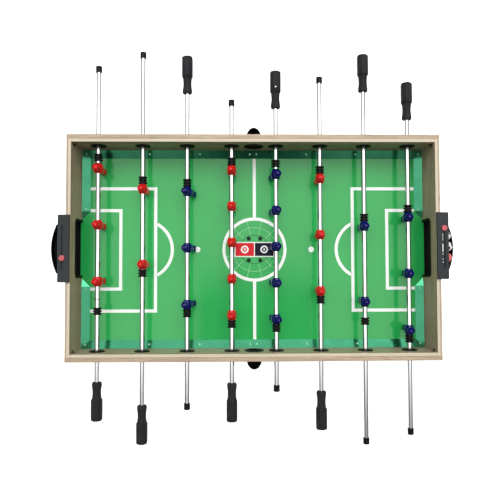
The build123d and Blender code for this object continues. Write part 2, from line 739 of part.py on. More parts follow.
def leveler(end, side):
    """A levelling foot: a wide pad, a hub that stops at the leg, and a stud."""
    x, y = leveler_place(end, side)
    pad = rod_along_z(LEVELER_PAD_R, 0, LEVELER_PAD_T, x, y)
    pad = fillet(pad.edges().sort_by(Axis.Z)[-1:], 4)
    hub = rod_along_z(LEVELER_HUB_R, LEVELER_PAD_T - 1, LEVELER_HUB_TOP, x, y)
    stud = rod_along_z(LEVELER_STUD_R, LEVELER_HUB_TOP - 1, LEVELER_STUD_TOP, x, y)
    return pad + hub + stud


def sub_parts():
    """Every node's name and its solids."""
    ends, sides, places = (-1, 1), (-1, 1), list(CORNERS.values())
    bearings = [(i, side) for side in sides for i in range(ROD_COUNT)]
    nodes = {
        "side_panels": [side_panel(side) for side in sides],
        "end_panels": [end_panel(end) for end in ends],
        "playfield": [playfield()],
        "bottom_panel": [bottom_panel()],
        "edge_ramps": edge_ramps(),
        "ramp_screws": [ramp_screw(x, y) for x, y in screw_places()],
        "goal_frames": [goal_frame(end) for end in ends],
        "ball_return_cups": [ball_return_cup(end) for end in ends],
        "score_plates": [score_plate(end) for end in ends],
        "score_slider_left": [score_slider(-1)],
        "score_slider_right": [score_slider(1)],
        "ball_entries": [f(side) for side in sides for f in (entry_ring, entry_scoop)],
        "rod_bearings": [f(i, side) for i, side in bearings for f in (rod_bearing, bearing_nut)],
        "legs": [leg(end, side) for end, side in places],
        "leg_bolts": [bolt for end, side in places for bolt in leg_bolts(end, side)],
        "balls": [ball(y) for y in BALL_YS],
    }
    for name, (end, side) in CORNERS.items():
        nodes[f"leveler_{name}"] = [leveler(end, side)]
    for index in range(ROD_COUNT):
        name = f"rod{index + 1}"
        nodes[f"{name}_bar"] = [rod_bar(index)]
        nodes[f"{name}_men"] = rod_men(index)
        nodes[f"{name}_handle"] = [rod_handle(index)]
        nodes[f"{name}_end_cap"] = [rod_end_cap(index)]
        nodes[f"{name}_bumpers"] = rod_bumpers(index)
    return nodes


def main():
    os.makedirs("parts", exist_ok=True)
    for name, shapes in sub_parts().items():
        solids = [solid for shape in shapes for solid in shape.solids()]
        export_step(Compound(children=solids), f"parts/{name}.step")


if __name__ == "__main__":
    main()
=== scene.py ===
"""The looks of the foosball table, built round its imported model, in metres and in the model's frame."""

import math
import random

import bmesh
import bpy
from mathutils import Matrix, Vector


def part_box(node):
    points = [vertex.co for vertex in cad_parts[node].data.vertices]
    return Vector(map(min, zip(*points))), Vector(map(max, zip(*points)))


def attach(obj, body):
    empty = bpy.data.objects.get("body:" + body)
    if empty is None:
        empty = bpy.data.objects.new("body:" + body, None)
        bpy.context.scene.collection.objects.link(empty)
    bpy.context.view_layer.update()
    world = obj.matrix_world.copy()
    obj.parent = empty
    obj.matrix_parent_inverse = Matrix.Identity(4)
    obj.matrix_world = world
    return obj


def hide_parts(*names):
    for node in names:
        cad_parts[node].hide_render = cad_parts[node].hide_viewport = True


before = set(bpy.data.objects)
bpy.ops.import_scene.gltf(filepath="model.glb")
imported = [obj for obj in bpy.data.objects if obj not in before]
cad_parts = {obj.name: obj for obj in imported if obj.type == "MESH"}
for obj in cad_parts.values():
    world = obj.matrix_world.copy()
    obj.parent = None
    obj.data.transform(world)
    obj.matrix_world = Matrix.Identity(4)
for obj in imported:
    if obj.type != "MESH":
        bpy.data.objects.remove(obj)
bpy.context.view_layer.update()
MM = 0.001
scene = bpy.context.scene

# ---- Read from the frame
FIELD_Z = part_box("playfield")[1].z
RIM_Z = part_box("side_panels")[1].z
CABINET_LOW, CABINET_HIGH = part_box("side_panels")
ROD_Z = sum(v.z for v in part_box("rod1_bar")) / 2
RODS = range(1, 9)
TEAMS = ("red", "red", "blue", "red", "blue", "red", "blue", "blue")
INNER_Y = -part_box("bottom_panel")[0].y
INNER_X = -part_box("bottom_panel")[0].x


# ---- Camera: where the picture was taken from, over the table
CAMERA_PLACE = (-0.0471, -0.0719, FIELD_Z + 1.8976)
CAMERA_TURN = (-0.0353, -0.0186, -0.0021)
CAMERA_FOCAL = 539.26 / 500 * 36


def turn(axis, angle):
    return Matrix.Rotation(angle, 3, axis)


def add_camera():
    data = bpy.data.cameras.new("camera")
    data.sensor_width = 36
    data.lens = CAMERA_FOCAL
    data.clip_start = 0.05
    data.clip_end = 50
    camera = bpy.data.objects.new("camera", data)
    scene.collection.objects.link(camera)
    rx, ry, rz = CAMERA_TURN
    flip = Matrix(((1, 0, 0), (0, -1, 0), (0, 0, -1)))
    view = (turn("Z", rz) @ turn("Y", ry) @ turn("X", rx) @ flip).transposed()
    place = (view @ flip).to_4x4()
    place.translation = CAMERA_PLACE
    camera.matrix_world = place
    scene.camera = camera
    scene.view_settings.view_transform = "Standard"


# ---- Materials
OAK_LIGHT = (0.455, 0.355, 0.252)
OAK_DARK = (0.330, 0.245, 0.160)
OAK_PORE = (0.26, 0.20, 0.14)
PALE_BAND = (0.66, 0.60, 0.47)
# The next colour is painted shade, for the strip of wall just under the rim's edge.
PAINTED_EDGE_SHADE = (0.16, 0.12, 0.06)


def tree_of(name):
    mat = bpy.data.materials.new(name)
    mat.use_nodes = True
    return mat, mat.node_tree.nodes, mat.node_tree.links


def finish_of(nodes, roughness=0.5, metallic=0.0, coat=0.0, coat_roughness=0.1, **more):
    shader = nodes["Principled BSDF"]
    shader.inputs["Roughness"].default_value = roughness
    shader.inputs["Metallic"].default_value = metallic
    shader.inputs["Coat Weight"].default_value = coat
    shader.inputs["Coat Roughness"].default_value = coat_roughness
    for name, value in more.items():
        shader.inputs[name.replace("_", " ")].default_value = value
    return shader


def coordinates(nodes, links, scale=(1, 1, 1), turned=(0, 0, 0)):
    where = nodes.new("ShaderNodeTexCoord")
    mapping = nodes.new("ShaderNodeMapping")
    mapping.inputs["Scale"].default_value = scale
    mapping.inputs["Rotation"].default_value = turned
    links.new(where.outputs["Object"], mapping.inputs["Vector"])
    return mapping.outputs["Vector"]


def noise_node(nodes, links, vector, scale, detail=3.0, roughness=0.5):
    node = nodes.new("ShaderNodeTexNoise")
    node.inputs["Scale"].default_value = scale
    node.inputs["Detail"].default_value = detail
    node.inputs["Roughness"].default_value = roughness
    links.new(vector, node.inputs["Vector"])
    return node.outputs["Fac"]


def ramp_node(nodes, links, value, stops):
    node = nodes.new("ShaderNodeValToRGB")
    ramp = node.color_ramp
    while len(ramp.elements) < len(stops):
        ramp.elements.new(0.5)
    for element, (place, colour) in zip(ramp.elements, stops):
        element.position = place
        element.color = (*colour, 1)
    links.new(value, node.inputs["Fac"])
    return node.outputs["Color"]


def mix_node(nodes, links, mode, amount, a, b):
    node = nodes.new("ShaderNodeMix")
    node.data_type = "RGBA"
    node.blend_type = mode
    factor, first, second = node.inputs[0], node.inputs[6], node.inputs[7]
    for socket, value in ((factor, amount), (first, a), (second, b)):
        if isinstance(value, bpy.types.NodeSocket):
            links.new(value, socket)
        elif isinstance(value, tuple):
            socket.default_value = (*value, 1)
        else:
            socket.default_value = value
    return node.outputs[2]


def bump_node(nodes, links, height, strength, distance):
    node = nodes.new("ShaderNodeBump")
    node.inputs["Strength"].default_value = strength
    node.inputs["Distance"].default_value = distance
    links.new(height, node.inputs["Height"])
    links.new(node.outputs["Normal"], nodes["Principled BSDF"].inputs["Normal"])
    return node


def range_node(nodes, links, value, low, high, from_low=0.0, from_high=1.0):
    node = nodes.new("ShaderNodeMapRange")
    node.inputs["From Min"].default_value = from_low
    node.inputs["From Max"].default_value = from_high
    node.inputs["To Min"].default_value = low
    node.inputs["To Max"].default_value = high
    links.new(value, node.inputs["Value"])
    return node.outputs["Result"]


def math_node(nodes, links, operation, a, b=0.0):
    node = nodes.new("ShaderNodeMath")
    node.operation = operation
    for socket, value in zip(node.inputs, (a, b)):
        if isinstance(value, bpy.types.NodeSocket):
            links.new(value, socket)
        else:
            socket.default_value = value
    return node.outputs[0]


def seam_mask(nodes, links, axis, place, half):
    """1 on a thin line round the object at this distance from its middle along X or Y."""
    where = nodes.new("ShaderNodeTexCoord")
    split = nodes.new("ShaderNodeSeparateXYZ")
    links.new(where.outputs["Object"], split.inputs[0])
    distance = math_node(nodes, links, "ABSOLUTE", split.outputs["XYZ".index(axis)])
    away = math_node(nodes, links, "ABSOLUTE", math_node(nodes, links, "SUBTRACT", distance, place))
    return distance, range_node(nodes, links, away, 1.0, 0.0, half * 0.5, half)


def height_masks(nodes, links):
    """1 on the rim's flat top, and 1 on the strip of wall just below its edge, where painted shade goes."""
    where = nodes.new("ShaderNodeTexCoord")
    split = nodes.new("ShaderNodeSeparateXYZ")
    links.new(where.outputs["Object"], split.inputs[0])
    depth = math_node(nodes, links, "SUBTRACT", RIM_Z, split.outputs[2])
    top = range_node(nodes, links, depth, 1.0, 0.0, 0.0004, 0.0008)
    upper = range_node(nodes, links, depth, 0.0, 1.0, 0.0006, 0.0014)
    lower = range_node(nodes, links, depth, 1.0, 0.0, 0.0065, 0.0080)
    return top, math_node(nodes, links, "MULTIPLY", upper, lower)


def oak(name, along, light, dark, line, roughness=0.42, seam=None):
    """Light oak laminate with its grain along X, Y or Z: broad figure, fine fibres and short pores.
    A seam is an axis and a distance: a thin dark joint line runs there, and inside it the rim's top is paler and the
    strip of wall just below the rim's edge gets a painted shade."""
    mat, nodes, links = tree_of(name)
    shader = finish_of(nodes, roughness, Specular_IOR_Level=0.4)
    stretch = {"X": (1.6, 34, 34), "Y": (34, 1.6, 34), "Z": (34, 34, 1.6)}[along]
    fine = tuple(v * 6 for v in stretch)
    figure = noise_node(nodes, links, coordinates(nodes, links, stretch), 1.0, 4, 0.55)
    fibre = noise_node(nodes, links, coordinates(nodes, links, fine), 1.0, 3, 0.6)
    pores = noise_node(nodes, links, coordinates(nodes, links, tuple(v * 14 for v in stretch)), 1.0, 2, 0.4)
    base = ramp_node(nodes, links, figure, ((0.30, dark), (0.50, light), (0.72, tuple(c * 1.05 for c in light))))
    streaks = ramp_node(nodes, links, fibre, ((0.38, (0.80, 0.76, 0.70)), (0.60, (1, 1, 1))))
    base = mix_node(nodes, links, "MULTIPLY", 0.65, base, streaks)
    dots = ramp_node(nodes, links, pores, ((0.33, line), (0.40, (1, 1, 1))))
    base = mix_node(nodes, links, "MULTIPLY", 0.45, base, dots)
    if seam:
        distance, thin = seam_mask(nodes, links, *seam, 0.0007)
        band = range_node(nodes, links, distance, 1.0, 0.0, seam[1] - 0.0002, seam[1] + 0.0002)
        top, _ = height_masks(nodes, links)
        pale = math_node(nodes, links, "MULTIPLY", band, top)
        base = mix_node(nodes, links, "MIX", math_node(nodes, links, "MULTIPLY", pale, 0.60), base, PALE_BAND)
        base = mix_node(nodes, links, "MULTIPLY", math_node(nodes, links, "MULTIPLY", thin, 0.7), base, OAK_PORE)
        # Painted shade: inside the seam, the strip of wall just below the rim's edge is darkened.
        below = math_node(nodes, links, "MULTIPLY", band, height_masks(nodes, links)[1])
        base = mix_node(nodes, links, "MIX", math_node(nodes, links, "MULTIPLY", below, 0.75), base, PAINTED_EDGE_SHADE)
    links.new(base, shader.inputs["Base Color"])
    links.new(range_node(nodes, links, fibre, roughness + 0.10, roughness - 0.06), shader.inputs["Roughness"])
    bump_node(nodes, links, fibre, 0.12, 0.0004)
    return mat


def moulded(name, colour, roughness=0.5, grain=900.0, depth=0.00006, coat=0.0, spread=0.18, **more):
    """Moulded plastic or rubber: a fine surface grain, slight colour and gloss variation."""
    mat, nodes, links = tree_of(name)
    shader = finish_of(nodes, roughness, coat=coat, **more)
    where = coordinates(nodes, links)
    broad = noise_node(nodes, links, where, 14.0, 4, 0.6)
    low = tuple(c * (1 - spread) for c in colour)
    high = tuple(min(1, c * (1 + spread)) for c in colour)
    links.new(ramp_node(nodes, links, broad, ((0.3, low), (0.7, high))), shader.inputs["Base Color"])
    links.new(range_node(nodes, links, broad, roughness - 0.05, roughness + 0.07), shader.inputs["Roughness"])
    bump_node(nodes, links, noise_node(nodes, links, where, grain, 2, 0.5), 0.35, depth)
    return mat


def metal(name, colour, edge, roughness, scratch_axis, rough_high):
    """Polished metal with faint rub marks round the axis, and its colour at grazing angles."""
    mat, nodes, links = tree_of(name)
    shader = finish_of(nodes, roughness, metallic=1.0)
    shader.inputs["Base Color"].default_value = (*colour, 1)
    shader.inputs["Specular Tint"].default_value = (*edge, 1)
    scale = tuple(2500 if axis == scratch_axis else 60 for axis in "XYZ")
    marks = noise_node(nodes, links, coordinates(nodes, links, scale), 1.0, 2, 0.5)
    smear = noise_node(nodes, links, coordinates(nodes, links), 9.0, 4, 0.6)
    mixed = math_node(nodes, links, "MULTIPLY", marks, smear)
    links.new(range_node(nodes, links, mixed, roughness, rough_high, 0.15, 0.42), shader.inputs["Roughness"])
    bump_node(nodes, links, marks, 0.02, 0.00002)
    return mat


def field_green():
    """Printed green laminate under a clear gloss: mottled a little, with a faint orange peel."""
    mat, nodes, links = tree_of("field_green")
    shader = finish_of(nodes, 0.45, coat=0.72, coat_roughness=0.045, Specular_IOR_Level=0.15)
    where = coordinates(nodes, links)
    broad = noise_node(nodes, links, where, 2.2, 3, 0.5)
    fine = noise_node(nodes, links, where, 260.0, 2, 0.5)
    base = ramp_node(nodes, links, broad, ((0.30, (0.011, 0.350, 0.068)), (0.70, (0.017, 0.390, 0.080))))
    speck = ramp_node(nodes, links, fine, ((0.35, (0.93, 0.95, 0.93)), (0.65, (1, 1, 1))))
    base = mix_node(nodes, links, "MULTIPLY", 0.8, base, speck)
    links.new(base, shader.inputs["Base Color"])
    links.new(range_node(nodes, links, broad, 0.40, 0.50), shader.inputs["Roughness"])
    bump_node(nodes, links, noise_node(nodes, links, where, 60.0, 2, 0.4), 0.03, 0.0002)
    return mat


def ramp_plastic():
    """Clear green-tinted plastic over the green board, glossy and a little hazy."""
    mat, nodes, links = tree_of("ramp_plastic")
    shader = finish_of(nodes, 0.16, metallic=0.75, coat=0.25, coat_roughness=0.08)
    where = coordinates(nodes, links)
    haze = noise_node(nodes, links, where, 18.0, 4, 0.6)
    base = ramp_node(nodes, links, haze, ((0.3, (0.012, 0.172, 0.080)), (0.7, (0.021, 0.212, 0.101))))
    links.new(base, shader.inputs["Base Color"])
    links.new(range_node(nodes, links, haze, 0.08, 0.20), shader.inputs["Roughness"])
    bump_node(nodes, links, noise_node(nodes, links, where, 45.0, 2, 0.4), 0.08, 0.0004)
    return mat


def man_plastic(name, colour, deep):
    """Glossy injection-moulded figure plastic, with the mould's parting line round each man."""
    mat, nodes, links = tree_of(name)
    shader = finish_of(nodes, 0.30, coat=0.5, coat_roughness=0.05, Specular_IOR_Level=0.1)
    where = coordinates(nodes, links)
    blotch = noise_node(nodes, links, where, 60.0, 3, 0.5)
    base = ramp_node(nodes, links, blotch, ((0.3, deep), (0.7, colour)))
    links.new(base, shader.inputs["Base Color"])
    links.new(range_node(nodes, links, blotch, 0.18, 0.30), shader.inputs["Roughness"])
    split = nodes.new("ShaderNodeSeparateXYZ")
    links.new(where, split.inputs[0])
    distance = math_node(nodes, links, "ABSOLUTE", split.outputs[0])
    ridge = range_node(nodes, links, distance, 1.0, 0.0, 0.0001, 0.0004)
    grain = noise_node(nodes, links, where, 700.0, 2, 0.5)
    height = math_node(nodes, links, "ADD", ridge, math_node(nodes, links, "MULTIPLY", grain, 0.12))
    bump_node(nodes, links, height, 0.5, 0.00012)
    return mat


def grip_rubber():
    """Charcoal grip rubber with fine raised dots."""
    mat, nodes, links = tree_of("grip_rubber")
    shader = finish_of(nodes, 0.42, Specular_IOR_Level=0.12)
    where = coordinates(nodes, links)
    broad = noise_node(nodes, links, where, 22.0, 4, 0.6)
    base = ramp_node(nodes, links, broad, ((0.3, (0.012, 0.013, 0.014)), (0.7, (0.024, 0.025, 0.028))))
    links.new(base, shader.inputs["Base Color"])
    cells = nodes.new("ShaderNodeTexVoronoi")
    cells.inputs["Scale"].default_value = 620.0
    cells.inputs["Randomness"].default_value = 0.25
    links.new(where, cells.inputs["Vector"])
    dots = range_node(nodes, links, cells.outputs["Distance"], 1.0, 0.0, 0.15, 0.5)
    links.new(range_node(nodes, links, dots, 0.62, 0.46), shader.inputs["Roughness"])
    bump_node(nodes, links, dots, 0.5, 0.00025)
    return mat


def printed(name, colour, roughness=0.35, coat=0.12):
    """Ink of the field's print, with little gloss of its own."""
    mat, nodes, links = tree_of(name)
    shader = finish_of(nodes, roughness, coat=coat, coat_roughness=0.045, Specular_IOR_Level=0.05)
    where = coordinates(nodes, links)
    fine = noise_node(nodes, links, where, 320.0, 2, 0.5)
    low = tuple(c * 0.93 for c in colour)
    links.new(ramp_node(nodes, links, fine, ((0.3, low), (0.7, colour))), shader.inputs["Base Color"])
    return mat


def floor_white():
    """A pale floor, white under and round the table and greyer far from it. Near the table it also gives off painted
    light, which lifts the table's shadow, and this fades out with distance.
    """
    mat, nodes, links = tree_of("floor_white")
    shader = finish_of(nodes, 0.9, Emission_Strength=0.55, Specular_IOR_Level=0.0)
    where = coordinates(nodes, links)
    length = nodes.new("ShaderNodeVectorMath")
    length.operation = "LENGTH"
    links.new(where, length.inputs[0])
    far = range_node(nodes, links, length.outputs["Value"], 0.0, 1.0, 1.8, 3.4)
    fine = noise_node(nodes, links, where, 3.0, 2, 0.5)
    base = ramp_node(nodes, links, fine, ((0.3, (0.93, 0.93, 0.93)), (0.7, (0.95, 0.95, 0.95))))
    base = mix_node(nodes, links, "MIX", far, base, (0.36, 0.36, 0.36))
    # Painted light: the floor gives off light near the table, fading to none far from it.
    glow = mix_node(nodes, links, "MIX", far, (1.0, 1.0, 1.0), (0.0, 0.0, 0.0))
    links.new(base, shader.inputs["Base Color"])
    links.new(glow, shader.inputs["Emission Color"])
    return mat


oak_x = oak("oak_along_x", "X", OAK_LIGHT, OAK_DARK, OAK_PORE, seam=("Y", CABINET_HIGH.y - 0.015))
oak_y = oak("oak_along_y", "Y", OAK_LIGHT, OAK_DARK, OAK_PORE, seam=("X", CABINET_HIGH.x - 0.006))
oak_z = oak("oak_along_z", "Z", OAK_LIGHT, OAK_DARK, OAK_PORE)
green = field_green()
hardboard = moulded("hardboard", (0.30, 0.19, 0.11), 0.7, 300, 0.0001)
ramp_clear = ramp_plastic()
painted_glint_white = moulded("painted_glint_white", (0.80, 0.84, 0.80), 0.3, 600, 0.00003, 0.3, 0.04)
green_paint = moulded("green_paint", (0.34, 0.78, 0.50), 0.3, 600, 0.00003, 0.3, 0.06)
black_plastic = moulded("black_plastic", (0.004, 0.004, 0.004), 0.45, 1200, 0.00008, Specular_IOR_Level=0.06)
charcoal = moulded("charcoal_plastic", (0.022, 0.027, 0.029), 0.45, 1100, 0.00010, 0.0, 0.10, Specular_IOR_Level=0.2)
marker_red = moulded("marker_red", (0.42, 0.018, 0.030), 0.25, 900, 0.00003, 0.6, 0.08)
black_steel = moulded("black_steel", (0.020, 0.020, 0.022), 0.35, 800, 0.00004, 0.2)
nylon = moulded("nylon", (0.016, 0.016, 0.017), 0.5, 900, 0.00008)
# The chrome's dark colour at grazing angles is painted shade along the rods' edges.
chrome = metal("chrome", (0.68, 0.69, 0.70), (0.12, 0.12, 0.13), 0.05, "Y", 0.14)
steel = metal("pin_steel", (0.62, 0.62, 0.63), (0.8, 0.8, 0.8), 0.25, "X", 0.4)
red_man = man_plastic("red_man", (0.64, 0.010, 0.010), (0.50, 0.005, 0.007))
blue_man = man_plastic("blue_man", (0.002, 0.002, 0.115), (0.001, 0.001, 0.080))
rubber_grip = grip_rubber()
rubber = moulded("black_rubber", (0.006, 0.006, 0.006), 0.34, 1500, 0.00006, Specular_IOR_Level=0.12)
ball_white = moulded("ball_white", (0.86, 0.86, 0.84), 0.3, 900, 0.00003, 0.3, 0.03)
ball_black = moulded("ball_black", (0.010, 0.010, 0.011), 0.3, 900, 0.00003, 0.3)
ball_red = moulded("ball_red", (0.78, 0.14, 0.13), 0.32, 900, 0.00003, 0.3, 0.06)
ink_white = printed("ink_white", (0.86, 0.90, 0.87), coat=0.5)
ink_pale = printed("ink_pale", (0.36, 0.72, 0.42))
ink_dark = printed("ink_dark", (0.003, 0.026, 0.009))
ink_red = printed("ink_red", (0.62, 0.018, 0.026))
ink_navy = printed("ink_navy", (0.004, 0.004, 0.016))
MEN = {"red": (red_man, "men_red"), "blue": (blue_man, "men_blue")}


# ---- Meshes
def to_mesh(name, bm, sharp=35):
    bmesh.ops.recalc_face_normals(bm, faces=bm.faces)
    mesh = bpy.data.meshes.new(name)
    bm.to_mesh(mesh)
    bm.free()
    mesh.polygons.foreach_set("use_smooth", [True] * len(mesh.polygons))
    mesh.set_sharp_from_angle(angle=math.radians(sharp))
    return mesh


def piece(name, mesh, materials, body, place=None):
    obj = bpy.data.objects.new(name, mesh)
    scene.collection.objects.link(obj)
    if not mesh.materials:
        for mat in materials:
            mesh.materials.append(mat)
    if place is not None:
        obj.matrix_world = place
    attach(obj, body)
    return obj


def bridge(bm, a, b, material=0):
    """Joins two rings of vertices, where a ring of one vertex is a pole."""
    count = max(len(a), len(b))
    for i in range(count):
        j = (i + 1) % count
        if len(a) == 1:
            corners = (a[0], b[j], b[i])
        elif len(b) == 1:
            corners = (a[i], a[j], b[0])
        else:
            corners = (a[i], a[j], b[j], b[i])
        bm.faces.new(corners).material_index = material


def lathe(bm, profile, place=Matrix(), segments=48, material=0):
    """Turns (distance, radius) points about local Z. A profile that ends where it starts is a ring."""
    rings = []
    closed = profile[0] == profile[-1]
    for distance, radius in profile[:-1] if closed else profile:
        if radius < 1e-7:
            rings.append([bm.verts.new(place @ Vector((0, 0, distance)))])
            continue
        ring = []
        for i in range(segments):
            angle = 2 * math.pi * i / segments
            spot = Vector((radius * math.cos(angle), radius * math.sin(angle), distance))
            ring.append(bm.verts.new(place @ spot))
        rings.append(ring)
    pairs = list(zip(rings, rings[1:]))
    if closed:
        pairs.append((rings[-1], rings[0]))
    for a, b in pairs:
        bridge(bm, a, b, material)


def rounded(profile, radius, steps=4):
    """The same profile with each inner corner rounded, in (distance, radius) points."""
    points = [Vector(p) for p in profile]
    out = [profile[0]]
    for before, corner, after in zip(points, points[1:], points[2:]):
        arm_a, arm_b = before - corner, after - corner
        reach = min(radius, arm_a.length * 0.45, arm_b.length * 0.45)
        a = corner + arm_a.normalized() * reach
        b = corner + arm_b.normalized() * reach
        for i in range(steps + 1):
            t = i / steps
            spot = a * (1 - t) ** 2 + corner * 2 * t * (1 - t) + b * t**2
            out.append((spot.x, spot.y))
    out.append(profile[-1])
    return out


def prism(bm, points, z0, z1, material=0):
    """A closed prism over a plan outline."""
    low = [bm.verts.new((x, y, z0)) for x, y in points]
    high = [bm.verts.new((x, y, z1)) for x, y in points]
    bm.faces.new(low).material_index = material
    bm.faces.new(high).material_index = material
    bridge(bm, low, high, material)


def ring_sector(bm, centre, inner, outer, a0, a1, z0, z1, steps=64, material=0):
    """A flat curved band, or a whole ring when the angles are a full turn apart."""
    whole = abs(a1 - a0) > 2 * math.pi - 1e-6
    count = steps if whole else steps + 1
    loops = []
    for radius, z in ((inner, z0), (outer, z0), (outer, z1), (inner, z1)):
        loop = []
        for i in range(count):
            angle = a0 + (a1 - a0) * i / steps
            spot = (centre[0] + radius * math.cos(angle), centre[1] + radius * math.sin(angle), z)
            loop.append(bm.verts.new(spot))
        loops.append(loop)
    for a, b in zip(loops, loops[1:] + loops[:1]):
        for i in range(count if whole else count - 1):
            j = (i + 1) % count
            bm.faces.new((a[i], a[j], b[j], b[i])).material_index = material
    if not whole:
        for i in (0, -1):
            bm.faces.new([loop[i] for loop in loops]).material_index = material


def disc(bm, centre, radius, z0, z1, sides=48, material=0, start=0.0):
    angles = [start + 2 * math.pi * i / sides for i in range(sides)]
    points = [(centre[0] + radius * math.cos(a), centre[1] + radius * math.sin(a)) for a in angles]
    prism(bm, points, z0, z1, material)


def bevelled_box(bm, low, high, radius, material=0, segments=2):
    made = bmesh.ops.create_cube(bm, size=1.0)["verts"]
    for vert in made:
        for axis in range(3):
            vert.co[axis] = low[axis] if vert.co[axis] < 0 else high[axis]
    edges = {edge for vert in made for edge in vert.link_edges}
    faces = {face for vert in made for face in vert.link_faces}
    for face in faces:
        face.material_index = material
    bmesh.ops.bevel(bm, geom=list(edges), offset=radius, segments=segments, affect="EDGES", profile=0.5)


def solid_boxes(node):
    """The box of each separate solid in a CAD node, in the order of Y, then X."""
    bm = bmesh.new()
    bm.from_mesh(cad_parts[node].data)
    bmesh.ops.remove_doubles(bm, verts=bm.verts, dist=1e-6)
    seen, boxes = set(), []
    for vert in bm.verts:
        if vert in seen:
            continue
        stack, group = [vert], []
        seen.add(vert)
        while stack:
            here = stack.pop()
            group.append(here.co.copy())
            for edge in here.link_edges:
                other = edge.other_vert(here)
                if other not in seen:
                    seen.add(other)
                    stack.append(other)
        low = Vector([min(v[i] for v in group) for i in range(3)])
        high = Vector([max(v[i] for v in group) for i in range(3)])
        boxes.append((low, high))
    bm.free()
    return sorted(boxes, key=lambda box: (round(box[0].y, 4), box[0].x))


def along_y(x, y, z, direction=1):
    """A place whose local Z points along Y."""
    return Matrix.Translation((x, y, z)) @ Matrix.Rotation(-direction * math.pi / 2, 4, "X")


# ---- The men
def superellipse(bm, centre, half_x, half_y, power, segments=40):
    ring = []
    for i in range(segments):
        angle = 2 * math.pi * i / segments
        c, s = math.cos(angle), math.sin(angle)
        x = math.copysign(abs(c) ** (2 / power), c) * half_x
        y = math.copysign(abs(s) ** (2 / power), s) * half_y
        ring.append(bm.verts.new((centre[0] + x, centre[1] + y, centre[2])))
    return ring


def loft(bm, sections, power=2.6, lean=0.0):
    """A closed solid through level sections of (height, half depth, half width[, forward])."""
    rings = []
    for section in sections:
        z, half_x, half_y = section[:3]
        forward = section[3] if len(section) > 3 else lean
        rings.append(superellipse(bm, (forward, 0, z), half_x, half_y, power))
    for a, b in zip(rings, rings[1:]):
        bridge(bm, a, b)
    bm.faces.new(rings[0])
    bm.faces.new(rings[-1])


def ball(bm, centre, radii):
    made = bmesh.ops.create_uvsphere(bm, u_segments=24, v_segments=16, radius=1.0)["verts"]
    for vert in made:
        vert.co = Vector([c * r for c, r in zip(vert.co, radii)]) + Vector(centre)


def limb(bm, start, end, r0, r1):
    """A rounded limb between two points."""
    a, b = Vector(start), Vector(end)
    length = (b - a).length
    profile = [(-r0, 0.0)]
    profile += [(-r0 * math.cos(t), r0 * math.sin(t)) for t in (0.4, 0.8, 1.2, math.pi / 2)]
    profile += [(length + r1 * math.sin(t), r1 * math.cos(t)) for t in (0.0, 0.4, 0.8, 1.2)]
    profile.append((length + r1, 0.0))
    place = Matrix.Translation(a) @ (b - a).to_track_quat("Z", "Y").to_matrix().to_4x4()
    lathe(bm, profile, place, 20)


MAN_HALF = 16.3
BOSS_R = 15.8


def man_parts(bm):
    """A man in millimetres about the rod's axis, facing +X, as overlapping solids."""
    ball(bm, (0.6, 0, 24.6), (12.2, 11.2, 12.2))
    ball(bm, (-1.0, 0, 26.6), (12.8, 12.3, 11.4))
    lathe(bm, [(35.5, 0), (35.5, 5.2), (38.2, 5.0), (38.4, 3.6), (37.0, 3.0), (37.0, 0)], Matrix(), 32)
    ball(bm, (12.6, 0, 23.2), (1.9, 1.4, 2.2))
    limb(bm, (11.2, -4.2, 27.0), (11.2, 4.2, 27.0), 1.3, 1.3)
    ball(bm, (9.2, 0, 16.4), (3.4, 3.6, 3.0))
    for side in (-1, 1):
        ball(bm, (0.4, side * 11.6, 23.6), (2.2, 1.5, 3.2))
        ball(bm, (11.5, side * 3.7, 24.6), (1.1, 1.4, 1.0))
        limb(bm, (0, side * 12.2, 8.5), (-1.5, side * 12.9, -8), 4.0, 3.5)
        limb(bm, (-1.5, side * 12.9, -8), (4.5, side * 11.6, -20), 3.4, 3.0)
        ball(bm, (5.6, side * 11.2, -22), (3.5, 3.1, 3.7))
        limb(bm, (0, side * 6.6, -33), (0.4, side * 5.7, -46), 6.3, 4.9)
        limb(bm, (0.4, side * 5.7, -46), (0.8, side * 5.6, -60), 5.5, 4.5)
        limb(bm, (0.4, side * 5.7, -45), (0.4, side * 5.7, -46.5), 5.9, 5.9)
    limb(bm, (0, 0, 8), (0, 0, 18), 6.8, 6.2)
    lathe(bm, [(14.2, 0), (14.2, 6.6), (15.2, 8.2), (16.4, 7.6), (16.4, 0)], Matrix(), 32)
    loft(bm, [(-21, 11.0, 12.0), (-16, 12.2, 12.6), (-9, 14.2, 13.8), (-2, 15.4, 15.2), (4, 15.4, 15.8),
              (9, 13.4, 15.4), (12.5, 10.4, 12.6), (15, 7.4, 8.6)], 2.1)
    loft(bm, [(-37, 10.6, 12.6), (-36, 12.0, 13.6), (-29, 12.4, 13.6), (-20, 11.8, 12.8), (-18.5, 11.0, 12.2)], 3.2)
    edge = [(-MAN_HALF, 0), (-MAN_HALF, 11.4), (-12.5, 13.6), (-6.5, BOSS_R), (6.5, BOSS_R), (12.5, 13.6),
            (MAN_HALF, 11.4), (MAN_HALF, 0)]
    lathe(bm, rounded(edge, 2.4), along_y(0, 0, 0), 48)
    loft(bm, [(-69, 9.8, 9.6), (-68, 10.5, 10.4), (-62, 10.5, 10.6), (-58.5, 9.2, 10.4), (-55, 6.6, 9.8),
              (-52, 5.4, 9.2)], 5.0, 0.5)


